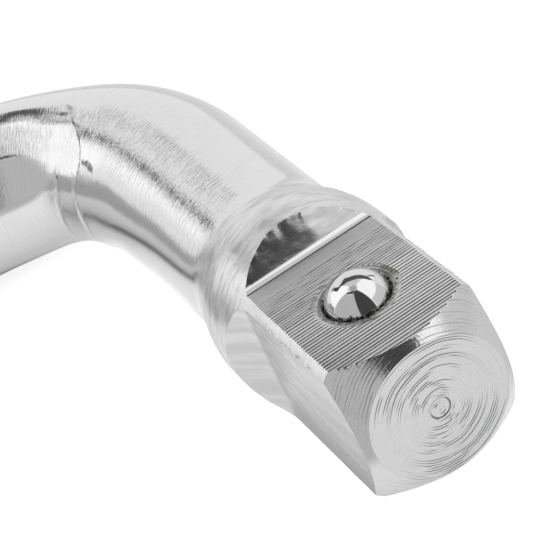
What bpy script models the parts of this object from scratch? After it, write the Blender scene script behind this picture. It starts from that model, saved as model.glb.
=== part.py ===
"""An L-handle for square-drive sockets: a bent steel bar with a sprung ball in the drive square at each end.

The bar lies flat, as it would on a bench. The origin is the centre of the short arm's end face. The
short arm runs along Y and its end face looks along +Y, the long arm runs along +X, and both balls
look up, along +Z. Lengths are in metres.
"""

import math

import bmesh
import bpy
from mathutils import Matrix, Vector

MM = 0.001

# The bar and its bend.
BAR_DIAMETER = 14.66 * MM
OVERALL_LENGTH = 250.0 * MM  # along the long arm, over the short arm's forged end
SHORT_ARM_REACH = 62.4 * MM  # from the short arm's end face to the long arm's axis
BEND_RADIUS = 19.6 * MM  # to the bar's centreline
BEND_ANGLE = math.radians(90)

# What the bending did to the inside of the bend: it swelled, and folded into a crease at the middle.
SWELL_HEIGHT = 0.52 * MM
SWELL_HALF_LENGTH = 13.0 * MM  # along the centreline, to each side of the middle
SWELL_FADE_LENGTH = 11.5 * MM  # from there to where the bar is round again
CREASE_DEPTH = 0.97 * MM  # from the top of the swell
CREASE_HALF_WIDTH = 5.5 * MM

# The upset ends: the bar is forged thicker where the squares are cut.
END_DIAMETER = 16.96 * MM
FULL_LENGTH = 19.8 * MM  # from the end face to where the ramp starts
RAMP_LENGTH = 6.2 * MM

# The turned end: a round face and a cone that trims the square's corners.
FACE_DIAMETER = 11.44 * MM
CONE_LENGTH = 2.5 * MM

# The drive square and the slope where the cutter ran out.
ACROSS_FLATS = 12.6 * MM
SQUARE_LENGTH = 15.5 * MM
RUNOUT_ANGLE = math.radians(42)  # up from the flat
RUNOUT_FILLET = 1.2 * MM

# The sprung ball, and the bore that is drilled for it and staked shut round it.
BALL_DIAMETER = 5.16 * MM
BALL_STANDS_PROUD = 1.65 * MM
BALL_FROM_FACE = 8.0 * MM
BORE_CLEARANCE = 0.10 * MM  # all round the ball
BORE_DEPTH = 9.4 * MM  # from the flat to where the drill's point starts
DRILL_POINT_ANGLE = math.radians(118)
LIP_DEPTH = 0.20 * MM  # from the flat down to the narrowest place
LIP_CLEARANCE = 0.06 * MM  # between the ball and the staked lip
LIP_HEIGHT = 0.35 * MM
STAKE_INNER_DIAMETER = 5.6 * MM
STAKE_OUTER_DIAMETER = 6.7 * MM
STAKE_DEPTH = 0.10 * MM  # how deep the punch pressed its ring

# The spring under the ball.
SPRING_DIAMETER = 4.6 * MM  # over the wire
WIRE_DIAMETER = 0.5 * MM
SPRING_TURNS = 6
SPRING_CLEARANCE = 0.10 * MM  # to the ball and to the bore's end

# How finely the round forms are faceted.
BAR_SEGMENTS = 56
BEND_STEPS = 40
RAMP_STEPS = 8
FILLET_STEPS = 5
BORE_SEGMENTS = 40
BALL_RINGS = 20
TURN_POINTS = 10
WIRE_BEVEL_RESOLUTION = 1
FLATS = 4
SHARP_ANGLE = math.radians(25)

# How far a cutter runs past what it cuts, and how near two points are one.
OVERRUN = 1.0 * MM
MERGE_DISTANCE = 0.001 * MM

# What follows from those sizes.
BAR_RADIUS = BAR_DIAMETER / 2
END_RADIUS = END_DIAMETER / 2
FACE_RADIUS = FACE_DIAMETER / 2
HALF_FLATS = ACROSS_FLATS / 2
BALL_RADIUS = BALL_DIAMETER / 2
BALL_CENTRE_HEIGHT = HALF_FLATS + BALL_STANDS_PROUD - BALL_RADIUS
BORE_RADIUS = BALL_RADIUS + BORE_CLEARANCE
BORE_END_HEIGHT = HALF_FLATS - BORE_DEPTH
WIRE_RADIUS = WIRE_DIAMETER / 2
COIL_RADIUS = SPRING_DIAMETER / 2 - WIRE_RADIUS
LONG_ARM_REACH = OVERALL_LENGTH - END_RADIUS  # from the short arm's axis to the far end face
SHORT_STRAIGHT = SHORT_ARM_REACH - BEND_RADIUS
LONG_STRAIGHT = LONG_ARM_REACH - BEND_RADIUS
BEND_LENGTH = BEND_RADIUS * BEND_ANGLE
BEND_MIDDLE = SHORT_STRAIGHT + BEND_LENGTH / 2
SWELL_REACH = SWELL_HALF_LENGTH + SWELL_FADE_LENGTH
BAR_LENGTH = SHORT_STRAIGHT + BEND_LENGTH + LONG_STRAIGHT

PLATE_COLOUR = (0.80, 0.80, 0.81, 1.0)
PLATE_ROUGHNESS = 0.22
BALL_COLOUR = (0.62, 0.62, 0.63, 1.0)
BALL_ROUGHNESS = 0.06
SPRING_COLOUR = (0.42, 0.42, 0.44, 1.0)
SPRING_ROUGHNESS = 0.35

UP = Vector((0, 0, 1))

# Each arm's drive end: where its end face is, and how far it is turned about Z from the short arm's.
SHORT_END = Matrix.Identity(4)
LONG_END = Matrix.Translation((LONG_ARM_REACH, -SHORT_ARM_REACH, 0)) @ Matrix.Rotation(-BEND_ANGLE, 4, "Z")


def clear_scene():
    """Removes the objects that a new scene holds."""
    for thing in list(bpy.data.objects):
        bpy.data.objects.remove(thing, do_unlink=True)


def metal(name, colour, roughness):
    """A bare or plated metal."""
    material = bpy.data.materials.new(name)
    material.use_nodes = True
    shader = material.node_tree.nodes["Principled BSDF"]
    shader.inputs["Base Color"].default_value = colour
    shader.inputs["Metallic"].default_value = 1.0
    shader.inputs["Roughness"].default_value = roughness
    material.diffuse_color = colour
    return material


def add_object(name, mesh, place):
    """Puts a mesh or a curve in the scene as an object."""
    thing = bpy.data.objects.new(name, mesh)
    bpy.context.scene.collection.objects.link(thing)
    thing.matrix_world = place
    return thing


def mesh_from(name, build, material=None):
    """A mesh made by a bmesh and finished with outward normals and smooth round faces."""
    shape = bmesh.new()
    build(shape)
    bmesh.ops.recalc_face_normals(shape, faces=shape.faces)
    mesh = bpy.data.meshes.new(name)
    shape.to_mesh(mesh)
    shape.free()
    mesh.shade_smooth()
    mesh.set_sharp_from_angle(angle=SHARP_ANGLE)
    if material:
        mesh.materials.append(material)
    return mesh


def ease(share):
    """Rises from 0 to 1 with a level start and a level end."""
    return share * share * (3 - 2 * share)


def end_profile():
    """The turned and forged end, as (distance from the end face, radius) pairs."""
    profile = [(0, FACE_RADIUS), (CONE_LENGTH, END_RADIUS)]
    for step in range(RAMP_STEPS + 1):
        share = step / RAMP_STEPS
        radius = END_RADIUS + (BAR_RADIUS - END_RADIUS) * ease(share)
        profile.append((FULL_LENGTH + RAMP_LENGTH * share, radius))
    return profile


def bar_profile():
    """The whole bar, from the short arm's end face to the long arm's, as (distance, radius) pairs."""
    near = end_profile()
    bend = []
    for step in range(BEND_STEPS + 1):
        bend.append((BEND_MIDDLE + SWELL_REACH * (2 * step / BEND_STEPS - 1), BAR_RADIUS))
    far = [(BAR_LENGTH - distance, radius) for distance, radius in reversed(near)]
    return near + bend + far


def along_bar(distance):
    """The centreline's point at a distance from the short arm's end face, and its heading there."""
    if distance <= SHORT_STRAIGHT:
        return Vector((0, -distance, 0)), Vector((0, -1, 0))
    turned = min((distance - SHORT_STRAIGHT) / BEND_RADIUS, BEND_ANGLE)
    heading = Vector((math.sin(turned), -math.cos(turned), 0))
    point = Vector((BEND_RADIUS * (1 - math.cos(turned)), -SHORT_STRAIGHT - BEND_RADIUS * math.sin(turned), 0))
    past_bend = max(distance - SHORT_STRAIGHT - BEND_LENGTH, 0)
    return point + heading * past_bend, heading


def swelling(distance):
    """How far the inside of the bend stands out from the round bar: a long swell with a crease in it."""
    from_middle = abs(distance - BEND_MIDDLE)
    faded = min(max((from_middle - SWELL_HALF_LENGTH) / SWELL_FADE_LENGTH, 0), 1)
    crease = CREASE_DEPTH * math.exp(-((from_middle / CREASE_HALF_WIDTH) ** 2))
    return SWELL_HEIGHT * (1 - ease(faded)) - crease


def bar_section(distance, radius):
    """The points of one section. The swelling is full on the bend's inside and dies out on its outside."""
    centre, heading = along_bar(distance)
    outward = heading.cross(UP)
    points = []
    for segment in range(BAR_SEGMENTS):
        angle = math.tau * segment / BAR_SEGMENTS
        inside_share = (1 - math.cos(angle)) / 2
        reach = radius + swelling(distance) * inside_share
        points.append(centre + reach * (math.cos(angle) * outward + math.sin(angle) * UP))
    return points


def loft_bar(shape):
    """Joins the bar's sections one after another, and closes both end faces."""
    rings = [[shape.verts.new(point) for point in bar_section(*station)] for station in bar_profile()]
    for ring, following in zip(rings, rings[1:]):
        for segment in range(BAR_SEGMENTS):
            beside = (segment + 1) % BAR_SEGMENTS
            shape.faces.new((ring[segment], ring[beside], following[beside], following[segment]))
    shape.faces.new(rings[0])
    shape.faces.new(rings[-1])


def flat_outline():
    """A side view of what the cutter takes off one side: (y, z) points, with y out of the end face."""
    fillet_start = RUNOUT_FILLET * math.tan(RUNOUT_ANGLE / 2) - SQUARE_LENGTH
    fillet_centre_height = HALF_FLATS + RUNOUT_FILLET
    top = END_RADIUS + OVERRUN
    outline = [(OVERRUN, HALF_FLATS)]
    for step in range(FILLET_STEPS + 1):
        angle = RUNOUT_ANGLE * step / FILLET_STEPS
        y = fillet_start - RUNOUT_FILLET * math.sin(angle)
        z = fillet_centre_height - RUNOUT_FILLET * math.cos(angle)
        outline.append((y, z))
    slope_length = (top - z) / math.tan(RUNOUT_ANGLE)
    outline.append((y - slope_length, top))
    outline.append((OVERRUN, top))
    return outline


def flat_cutter(shape):
    """The side view of one flat, pulled across the full width of the end."""
    half_width = END_RADIUS + OVERRUN
    side = shape.faces.new([shape.verts.new((-half_width, y, z)) for y, z in flat_outline()])
    pulled = bmesh.ops.extrude_face_region(shape, geom=[side])
    moved = [item for item in pulled["geom"] if isinstance(item, bmesh.types.BMVert)]
    bmesh.ops.translate(shape, verts=moved, vec=(2 * half_width, 0, 0))


def spin_profile(shape, profile):
    """Turns (radius, height) pairs about the Z axis. The first and last pairs lie on the axis."""
    line = [shape.verts.new((radius, 0, height)) for radius, height in profile]
    edges = [shape.edges.new(pair) for pair in zip(line, line[1:])]
    bmesh.ops.spin(shape, geom=line + edges, axis=UP, angle=math.tau, steps=BORE_SEGMENTS, use_merge=True)
    bmesh.ops.remove_doubles(shape, verts=shape.verts, dist=MERGE_DISTANCE)


def lip_radius():
    """The staked lip's inner radius: clear of the ball at that height, yet narrower than the ball."""
    above_centre = HALF_FLATS - LIP_DEPTH - BALL_CENTRE_HEIGHT
    return math.sqrt(BALL_RADIUS**2 - above_centre**2) + LIP_CLEARANCE


def bore_cutter(shape):
    """The drilled hole, its staked lip and the ring that the staking punch left, about the hole's axis."""
    drill_tip_height = BORE_END_HEIGHT - BORE_RADIUS / math.tan(DRILL_POINT_ANGLE / 2)
    lip_height = HALF_FLATS - LIP_DEPTH
    stake_height = HALF_FLATS - STAKE_DEPTH
    above = HALF_FLATS + OVERRUN
    profile = [
        (0, drill_tip_height),
        (BORE_RADIUS, BORE_END_HEIGHT),
        (BORE_RADIUS, lip_height - LIP_HEIGHT),
        (lip_radius(), lip_height),
        (STAKE_INNER_DIAMETER / 2, stake_height),
        (STAKE_OUTER_DIAMETER / 2, stake_height),
        (STAKE_OUTER_DIAMETER / 2, above),
        (0, above),
    ]
    spin_profile(shape, profile)


def cut(body, name, mesh, place):
    """Cuts a shape out of a body. The cutter stays in the scene as a hidden guide."""
    cutter = add_object(name, mesh, place)
    cutter.display_type = "WIRE"
    cutter.hide_render = True
    modifier = body.modifiers.new(name, "BOOLEAN")
    modifier.operation = "DIFFERENCE"
    modifier.object = cutter


def make_handle():
    """The bar, with a drive square and a bore for its ball cut into each end."""
    plate = metal("plated_steel", PLATE_COLOUR, PLATE_ROUGHNESS)
    handle = add_object("handle", mesh_from("handle", loft_bar, plate), Matrix.Identity(4))
    flat_mesh = mesh_from("flat_cutter", flat_cutter)
    bore_mesh = mesh_from("bore_cutter", bore_cutter)
    bore_place = Matrix.Translation((0, -BALL_FROM_FACE, 0))
    for end_name, end in (("short_end", SHORT_END), ("long_end", LONG_END)):
        for flat in range(FLATS):
            turn = Matrix.Rotation(math.tau * flat / FLATS, 4, "Y")
            cut(handle, f"{end_name}_flat_cutter_{flat + 1}", flat_mesh, end @ turn)
        cut(handle, f"{end_name}_bore_cutter", bore_mesh, end @ bore_place)


def ball_shape(shape):
    """A steel ball about its own centre."""
    profile = []
    for ring in range(BALL_RINGS + 1):
        angle = math.pi * ring / BALL_RINGS
        profile.append((BALL_RADIUS * math.sin(angle), -BALL_RADIUS * math.cos(angle)))
    profile[0] = (0, -BALL_RADIUS)
    profile[-1] = (0, BALL_RADIUS)
    spin_profile(shape, profile)


def spring_heights():
    """Where the wire's centre starts and ends: just above the drilled cone, and just under the ball."""
    half_angle = DRILL_POINT_ANGLE / 2
    stand_off = WIRE_RADIUS + SPRING_CLEARANCE
    cone_height = BORE_END_HEIGHT - (BORE_RADIUS - COIL_RADIUS) / math.tan(half_angle)
    bottom = cone_height + stand_off / math.sin(half_angle)
    top = BALL_CENTRE_HEIGHT - math.sqrt((BALL_RADIUS + stand_off) ** 2 - COIL_RADIUS**2)
    return bottom, top


def spring_points():
    """The wire's centreline: one open helix about the bore's axis."""
    bottom, top = spring_heights()
    count = SPRING_TURNS * TURN_POINTS
    points = []
    for index in range(count + 1):
        share = index / count
        angle = math.tau * SPRING_TURNS * share
        height = bottom + (top - bottom) * share
        points.append(Vector((COIL_RADIUS * math.cos(angle), COIL_RADIUS * math.sin(angle), height)))
    return points


def least_gap(points):
    """The least space between the wire and itself, from points that are over half a turn apart."""
    apart = TURN_POINTS // 2 + 1
    spans = [(one - other).length for index, one in enumerate(points) for other in points[index + apart :]]
    return min(spans) - WIRE_DIAMETER


def spring_curve():
    """A compression spring, standing on the drive square's axis."""
    points = spring_points()
    print(f"Least gap of the spring to itself: {least_gap(points) / MM:.2f} mm")
    curve = bpy.data.curves.new("spring", "CURVE")
    curve.dimensions = "3D"
    curve.bevel_depth = WIRE_RADIUS
    curve.bevel_resolution = WIRE_BEVEL_RESOLUTION
    curve.use_fill_caps = True
    wire = curve.splines.new("POLY")
    wire.points.add(len(points) - len(wire.points))
    for place, point in zip(wire.points, points):
        place.co = (*point, 1)
    curve.materials.append(metal("spring_steel", SPRING_COLOUR, SPRING_ROUGHNESS))
    return curve


def make_detents():
    """The ball and the spring of each drive end. A ball's origin is its centre, on its line of travel."""
    ball = mesh_from("ball", ball_shape, metal("ball_steel", BALL_COLOUR, BALL_ROUGHNESS))
    spring = spring_curve()
    ball_place = Matrix.Translation((0, -BALL_FROM_FACE, BALL_CENTRE_HEIGHT))
    spring_place = Matrix.Translation((0, -BALL_FROM_FACE, 0))
    for end_name, end in (("short_end", SHORT_END), ("long_end", LONG_END)):
        add_object(f"{end_name}_ball", ball, end @ ball_place)
        add_object(f"{end_name}_spring", spring, end @ spring_place)


def main():
    """Builds the handle and its two detents."""
    clear_scene()
    make_handle()
    make_detents()


main()
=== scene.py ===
# %% [markdown]
# # An L-handle for square-drive sockets
# The real object is a steel bar, bent once, with a drive square forged, milled and turned on each end.
# A sprung steel ball sits in each square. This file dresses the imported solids: it models the bar again
# with its forging and milling marks, turns two finer balls, coils their springs, and gives every surface
# its metal.

import math
import random

import bmesh
import bpy
import numpy as np
from mathutils import Matrix, Vector, noise


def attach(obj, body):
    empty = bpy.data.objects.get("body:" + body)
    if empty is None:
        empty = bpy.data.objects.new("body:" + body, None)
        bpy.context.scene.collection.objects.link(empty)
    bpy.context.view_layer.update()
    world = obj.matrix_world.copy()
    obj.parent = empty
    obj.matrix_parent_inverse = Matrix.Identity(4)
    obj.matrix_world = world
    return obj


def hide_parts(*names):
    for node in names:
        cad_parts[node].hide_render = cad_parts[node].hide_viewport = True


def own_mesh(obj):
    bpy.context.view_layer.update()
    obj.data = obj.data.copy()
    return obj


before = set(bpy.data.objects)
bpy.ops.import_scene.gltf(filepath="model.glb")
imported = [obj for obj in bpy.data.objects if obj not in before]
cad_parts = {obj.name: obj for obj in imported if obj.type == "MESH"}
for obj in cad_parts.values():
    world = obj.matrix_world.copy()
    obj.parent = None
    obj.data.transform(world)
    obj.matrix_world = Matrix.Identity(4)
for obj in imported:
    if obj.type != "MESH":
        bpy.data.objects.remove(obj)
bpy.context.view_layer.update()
print("solids:", sorted(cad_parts))

# %% [markdown]
# ## The sizes
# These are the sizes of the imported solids, so that the finer bar lies exactly where the plain one does.
# The short arm runs along Y from its end face at the origin, and the long arm runs along X.

# %% Sizes of the bar
MM = 0.001
BAR_RADIUS = 7.33 * MM
END_RADIUS = 8.48 * MM
FACE_RADIUS = 5.72 * MM
OVERALL_LENGTH = 250.0 * MM
SHORT_ARM_REACH = 62.4 * MM
BEND_RADIUS = 19.6 * MM
CONE_LENGTH = 2.5 * MM
FULL_LENGTH = 19.8 * MM
RAMP_LENGTH = 6.2 * MM
HALF_FLATS = 6.3 * MM
SQUARE_LENGTH = 15.5 * MM
RUNOUT_ANGLE = math.radians(42)
RUNOUT_FILLET = 1.2 * MM

SHORT_STRAIGHT = SHORT_ARM_REACH - BEND_RADIUS
LONG_ARM_REACH = OVERALL_LENGTH - END_RADIUS
LONG_STRAIGHT = LONG_ARM_REACH - BEND_RADIUS
BEND_LENGTH = BEND_RADIUS * math.pi / 2
BEND_MIDDLE = SHORT_STRAIGHT + BEND_LENGTH / 2
BAR_LENGTH = SHORT_STRAIGHT + BEND_LENGTH + LONG_STRAIGHT
print(f"the bar is {BAR_LENGTH / MM:.1f} mm long on its centreline")

# %% Sizes of the ball and its bore
BALL_RADIUS = 2.65 * MM
BALL_FROM_FACE = 8.0 * MM
BALL_HEIGHT = 5.43 * MM
BORE_RADIUS = 2.68 * MM
BORE_END = -3.1 * MM
DRILL_TIP = BORE_END - BORE_RADIUS / math.tan(math.radians(59))
LIP_RADIUS = 2.60 * MM

# %% [markdown]
# ## The camera
# The photograph is a close view of the short arm's end with a long lens, from above and in front.
# Its place was solved from the corners of the square, the round end face and the ball.

# %% Place the camera
LENS_IN_MM = 129.301
CAMERA_PLACE = (0.03208461, 0.10215761, 0.08962886)
CAMERA_TURNS = (52.83442, 20.39666, 151.29012)
camera_data = bpy.data.cameras.new("camera")
camera_data.sensor_width = 36
camera_data.lens = LENS_IN_MM
camera_data.clip_start = 0.001
camera = bpy.data.objects.new("camera", camera_data)
bpy.context.scene.collection.objects.link(camera)
camera.location = CAMERA_PLACE
camera.rotation_euler = [math.radians(turn) for turn in CAMERA_TURNS]
bpy.context.scene.camera = camera
bpy.context.scene.view_settings.view_transform = "Standard"
print("camera", round(camera.location.length / MM), "mm from the short end face")

# %% [markdown]
# ## Helpers for edit mode
# An operator acts on all that is selected, so each step first selects what it is meant for. Faces and
# points are picked by where they lie, as a modeller would pick them by eye. A circle that is added lies
# flat, so the ones that are spun or extruded sideways are stood up.


# %% Select and edit
STANDING = (math.pi / 2, 0, 0)


def pick_only(thing):
    """Makes one object the selected and active one."""
    bpy.ops.object.select_all(action="DESELECT")
    thing.select_set(True)
    bpy.context.view_layer.objects.active = thing


def edit(thing):
    """Opens an object in edit mode."""
    pick_only(thing)
    bpy.ops.object.mode_set(mode="EDIT")


def leave_edit():
    """Closes edit mode."""
    bpy.ops.object.mode_set(mode="OBJECT")


def select_points(thing, test):
    """In edit mode, selects the points that pass a test, and the edges and faces between them."""
    shape = bmesh.from_edit_mesh(thing.data)
    bpy.ops.mesh.select_mode(type="VERT")
    for part in (*shape.verts, *shape.edges, *shape.faces):
        part.select = False
    for point in shape.verts:
        point.select = test(point.co)
    shape.select_flush(True)
    bmesh.update_edit_mesh(thing.data)


def finish_transforms(thing):
    """Moves an object's place, turn and scale into its mesh."""
    pick_only(thing)
    bpy.ops.object.transform_apply(location=True, rotation=True, scale=True)


def add_mesh(name, operator, **settings):
    """Adds a simple mesh by its operator and names it."""
    bpy.ops.object.select_all(action="DESELECT")
    operator(**settings)
    made = bpy.context.object
    made.name = name
    return made


def moved_copy(thing, matrix):
    """A copy of an object with its own mesh, moved by a matrix."""
    pick_only(thing)
    bpy.ops.object.duplicate()
    copy = bpy.context.object
    copy.data.transform(matrix)
    return copy


def finish_faces(merge=0.0):
    """Merges points that lie closer than a distance, turns all faces outwards and closes edit mode."""
    bpy.ops.mesh.select_all(action="SELECT")
    if merge:
        bpy.ops.mesh.remove_doubles(threshold=merge)
    bpy.ops.mesh.normals_make_consistent(inside=False)
    leave_edit()


def tidy_mesh(thing, sharp_angle):
    """Merges doubled points, turns all faces outwards and smooths the faces that meet gently."""
    edit(thing)
    finish_faces(0.0005 * MM)
    bpy.ops.object.shade_smooth_by_angle(angle=sharp_angle)


def open_edges(thing):
    """How many edges don't lie between exactly two faces."""
    shape = bmesh.new()
    shape.from_mesh(thing.data)
    count = sum(1 for edge in shape.edges if not edge.is_manifold)
    shape.free()
    return count


def move_points(thing, mover):
    """Moves every point of a mesh by a rule that takes and gives a place."""
    for point in thing.data.vertices:
        point.co = mover(point.co.copy())
    thing.data.update()


def ease(share):
    """Rises from 0 to 1 with a level start and a level end."""
    share = min(max(share, 0), 1)
    return share * share * (3 - 2 * share)


def rise(shares):
    """The same rise for an array of shares."""
    shares = np.clip(shares, 0, 1)
    return shares * shares * (3 - 2 * shares)


# %% [markdown]
# ## The materials' names
# One list of materials serves the bar and every cutter, in the same order, so that a face that a cutter
# leaves behind keeps the finish of that tool: milled, drilled, or torn where the cutter ran out.

# %% Name the finishes of the handle
FINISHES = [
    "polished_bar", "turned_end", "milled_flat", "cutter_groove", "side_flat", "runout_wall", "bore_wall",
]
finish = {name: bpy.data.materials.new(name) for name in FINISHES}
finish_number = {name: number for number, name in enumerate(FINISHES)}


def give_finishes(thing):
    """Gives an object the handle's list of materials."""
    thing.data.materials.clear()
    for name in FINISHES:
        thing.data.materials.append(finish[name])


# %% [markdown]
# ## The forged end: rings one after another
# A lathe faced the end and cut the cone behind it. Behind that the bar is as the forging die left it:
# thick, a little uneven, with a low ridge where the die closed. The end starts as a small disc in the
# middle of the face. Its rim is extruded ring by ring, out over the face, down the cone and back along
# the bar, and each new ring is scaled to its radius. The tool marks on the face are real grooves.

# %% The face's turned grooves
BAR_SEGMENTS = 160
END_LENGTH = 30.0 * MM
NUB_RADIUS = 0.28 * MM
GROOVE_HALF_WIDTH = 0.05 * MM
FIRST_GROOVE = 0.86 * MM
BETWEEN_GROOVES = 0.002 * MM
CONE_RINGS = 8
RING_SPACING = 0.5 * MM
random.seed(7)


def face_profile():
    """The turned face from its middle to its rim, as (radius, depth) pairs."""
    profile = [(NUB_RADIUS, 0.02 * MM), (0.42 * MM, 0.05 * MM), (0.56 * MM, 0.015 * MM)]
    radius = FIRST_GROOVE
    while radius < FACE_RADIUS - 0.25 * MM:
        depth = random.uniform(0.004, 0.022) * MM
        profile.append((radius - GROOVE_HALF_WIDTH, BETWEEN_GROOVES))
        profile.append((radius, depth))
        profile.append((radius + GROOVE_HALF_WIDTH, BETWEEN_GROOVES))
        radius += random.uniform(0.26, 0.42) * MM
    profile.append((FACE_RADIUS, 0.0))
    return profile


def end_profile():
    """The whole end, as (radius, depth behind the face) pairs."""
    profile = face_profile()
    for step in range(1, CONE_RINGS + 1):
        share = step / CONE_RINGS
        cut = 0.006 * MM if step % 2 else 0.0
        profile.append((FACE_RADIUS + (END_RADIUS - FACE_RADIUS) * share - cut, CONE_LENGTH * share))
    depth = CONE_LENGTH
    while depth < END_LENGTH - 0.45 * MM:
        depth += RING_SPACING
        ramp = ease((depth - FULL_LENGTH) / RAMP_LENGTH)
        profile.append((END_RADIUS + (BAR_RADIUS - END_RADIUS) * ramp, depth))
    profile[-1] = (BAR_RADIUS, END_LENGTH)
    return profile


END_PROFILE = end_profile()
print(len(END_PROFILE), "rings on the end")

# %% Extrude the end ring by ring
first_radius = END_PROFILE[0][0]
handle = add_mesh(
    "detailed_handle", bpy.ops.mesh.primitive_circle_add,
    vertices=BAR_SEGMENTS, radius=first_radius, fill_type="TRIFAN", location=(0, 0, 0), rotation=STANDING,
)
finish_transforms(handle)
give_finishes(handle)
edit(handle)
select_points(handle, lambda co: co.length > first_radius / 2)
radius, depth = first_radius, 0.0
for next_radius, next_depth in END_PROFILE[1:]:
    bpy.ops.mesh.select_mode(type="EDGE")
    bpy.ops.mesh.extrude_region_move(TRANSFORM_OT_translate={"value": (0, depth - next_depth, 0)})
    ratio = next_radius / radius
    bpy.ops.transform.resize(value=(ratio, 1, ratio), center_override=(0, -next_depth, 0))
    radius, depth = next_radius, next_depth
bpy.ops.mesh.edge_face_add()
leave_edit()
print("end extruded:", len(handle.data.vertices), "points")

# %% [markdown]
# ## Forging marks
# The die leaves the metal uneven: slow dents a few millimetres wide, small ones under a millimetre, and
# a ridge round the bar. The points move in and out along their own radius by a smooth noise, which dies
# out before the bar's plain part. The turned face and cone stay true, because the lathe came last.

# %% Dent the forged part
RIDGE_DEPTH = 21.9 * MM
DENT_SHARE = 0.045 * MM
CRINKLE_SHARE = 0.020 * MM
RIDGE_SHARE = 0.035 * MM
DENT_SIZE = 3.2 * MM
CRINKLE_SIZE = 0.9 * MM
RIDGE_WANDER = 0.9 * MM
FADE_IN = 1.2 * MM
FADE_OUT_START, FADE_OUT_LENGTH = 24.5 * MM, 4.5 * MM


def dent(co):
    """Moves a point of the forged surface in or out."""
    depth = -co.y
    radius = math.hypot(co.x, co.z)
    if depth <= CONE_LENGTH * 0.999 or radius < 1e-6:
        return co
    fade = ease((depth - CONE_LENGTH) / FADE_IN) * (1 - ease((depth - FADE_OUT_START) / FADE_OUT_LENGTH))
    angle = math.atan2(co.z, co.x)
    wander = RIDGE_DEPTH + RIDGE_WANDER * noise.noise((math.cos(angle) * 1.3, math.sin(angle) * 1.3, 4.0))
    along = (depth - wander) / MM
    ridge = RIDGE_SHARE * (math.exp(-((along / 0.30) ** 2)) - 0.9 * math.exp(-(((along - 0.5) / 0.35) ** 2)))
    slow = DENT_SHARE * noise.noise(co / DENT_SIZE)
    small = CRINKLE_SHARE * noise.noise(co / CRINKLE_SIZE + Vector((9, 3, 5)))
    shift = fade * (slow + small + ridge)
    return Vector((co.x * (1 + shift / radius), co.y, co.z * (1 + shift / radius)))


move_points(handle, dent)
for face in handle.data.polygons:
    turned = face.center.y > -CONE_LENGTH
    face.material_index = finish_number["turned_end" if turned else "polished_bar"]
tidy_mesh(handle, math.radians(30))
print("forged end closed:", open_edges(handle) == 0)

# %% [markdown]
# ## The milled flats
# The flats were cut across the arm with a coarse cutter, whose every pass left a groove on the flat with
# the ball. The three other flats came out smooth. Each is modelled as a cutting block: a grid whose rows
# follow the flat, the fillet and the torn slope where the tool ran out. The grooves stand proud on the
# block, so the Boolean leaves them sunk in the bar.

# %% The side view of a flat
OVERRUN = 1.0 * MM
CUTTER_TOP = END_RADIUS + OVERRUN
PITCH = 0.325 * MM
GROOVE_DEPTH = 0.085 * MM
GROOVES_FADE = 4.0 * MM
SIDE_FILLET = 2.6 * MM
WALL_KINK = -1.6 * MM
WALL_SKEW = 0.12
WALL_TEAR = 0.034 * MM
FILLET_ROWS = 8
WALL_ROWS = 14


def groove_rows():
    """The passes of the coarse cutter, as (y, height, groove share) rows from the end face back."""
    rows = [(OVERRUN, 0.0, 0.0)]
    y = OVERRUN - 0.2 * MM
    last = -(SQUARE_LENGTH - RUNOUT_FILLET * math.tan(RUNOUT_ANGLE / 2)) + 0.5 * MM
    while y > last:
        far = ease((y - last) / GROOVES_FADE)
        half = random.uniform(0.064, 0.084) * MM
        share = random.uniform(0.65, 1.2) * (0.25 + 0.75 * far)
        rows += [(y + 0.8 * half, 0.0, 0.0), (y + 0.2 * half, 0.0, share), (y - half, 0.0, 0.0)]
        y -= PITCH * random.uniform(0.84, 1.16)
    return rows


def plain_rows(count):
    """A smooth flat, as rows from the end face back."""
    last = SIDE_FILLET * math.tan(RUNOUT_ANGLE / 2) - SQUARE_LENGTH
    return [(OVERRUN + (last - OVERRUN) * step / count, 0.0, 0.0) for step in range(count)]


def runout_rows(fillet):
    """The fillet and the slope behind a flat, as (y, height above the flat, tear share) rows."""
    start = fillet * math.tan(RUNOUT_ANGLE / 2) - SQUARE_LENGTH
    rows = []
    for step in range(FILLET_ROWS + 1):
        angle = RUNOUT_ANGLE * step / FILLET_ROWS
        rows.append((start - fillet * math.sin(angle), fillet * (1 - math.cos(angle)), 0.0))
    y, height = rows[-1][0], rows[-1][1]
    top = CUTTER_TOP - HALF_FLATS - 0.1 * MM
    slope = (top - height) / math.tan(RUNOUT_ANGLE)
    for step in range(1, WALL_ROWS + 1):
        share = step / WALL_ROWS
        rows.append((y - slope * share, height + (top - height) * share, ease(share * 3)))
    return rows


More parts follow.
